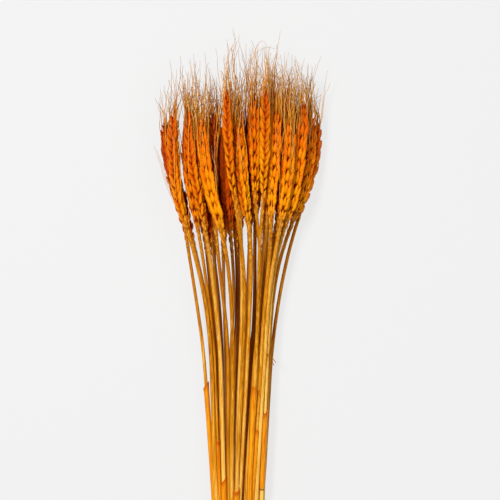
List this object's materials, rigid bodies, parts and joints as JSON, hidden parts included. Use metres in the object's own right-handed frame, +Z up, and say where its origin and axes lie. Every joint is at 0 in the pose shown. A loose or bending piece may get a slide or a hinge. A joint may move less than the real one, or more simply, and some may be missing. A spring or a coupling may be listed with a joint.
{
  "type": "bunch of dried wheat ears",
  "caption": "Bunch of dried, dyed, bearded wheat ears on long straws, wound together with twine near their cut ends, lying on its side.",
  "frame": {"origin": "middle of the underside of the bunch's box, on the surface that it lies on", "axes": "+Y along the straws from the cut ends to the ears, +Z up from the surface, +X across the bunch"},
  "size_m": [0.1518, 0.6064, 0.0578],
  "materials": {
    "dyed_wheat": "satin",
    "twine": "matte"
  },
  "bodies": {
    "root": {"stalk_01": "dyed_wheat", "stalk_02": "dyed_wheat", "stalk_03": "dyed_wheat", "stalk_04": "dyed_wheat", "stalk_05": "dyed_wheat", "stalk_06": "dyed_wheat", "stalk_07": "dyed_wheat", "stalk_08": "dyed_wheat", "stalk_09": "dyed_wheat", "stalk_10": "dyed_wheat", "stalk_11": "dyed_wheat", "stalk_12": "dyed_wheat", "stalk_13": "dyed_wheat", "stalk_14": "dyed_wheat", "stalk_15": "dyed_wheat", "stalk_16": "dyed_wheat", "stalk_17": "dyed_wheat", "stalk_18": "dyed_wheat", "stalk_19": "dyed_wheat", "stalk_20": "dyed_wheat", "stalk_21": "dyed_wheat", "stalk_22": "dyed_wheat", "stalk_23": "dyed_wheat", "stalk_24": "dyed_wheat", "stalk_25": "dyed_wheat", "stalk_26": "dyed_wheat", "stalk_27": "dyed_wheat", "stalk_28": "dyed_wheat", "stalk_29": "dyed_wheat", "stalk_30": "dyed_wheat", "stalk_31": "dyed_wheat", "stalk_32": "dyed_wheat", "stalk_33": "dyed_wheat", "stalk_34": "dyed_wheat", "tie": "twine"}
  },
  "joints": []
}
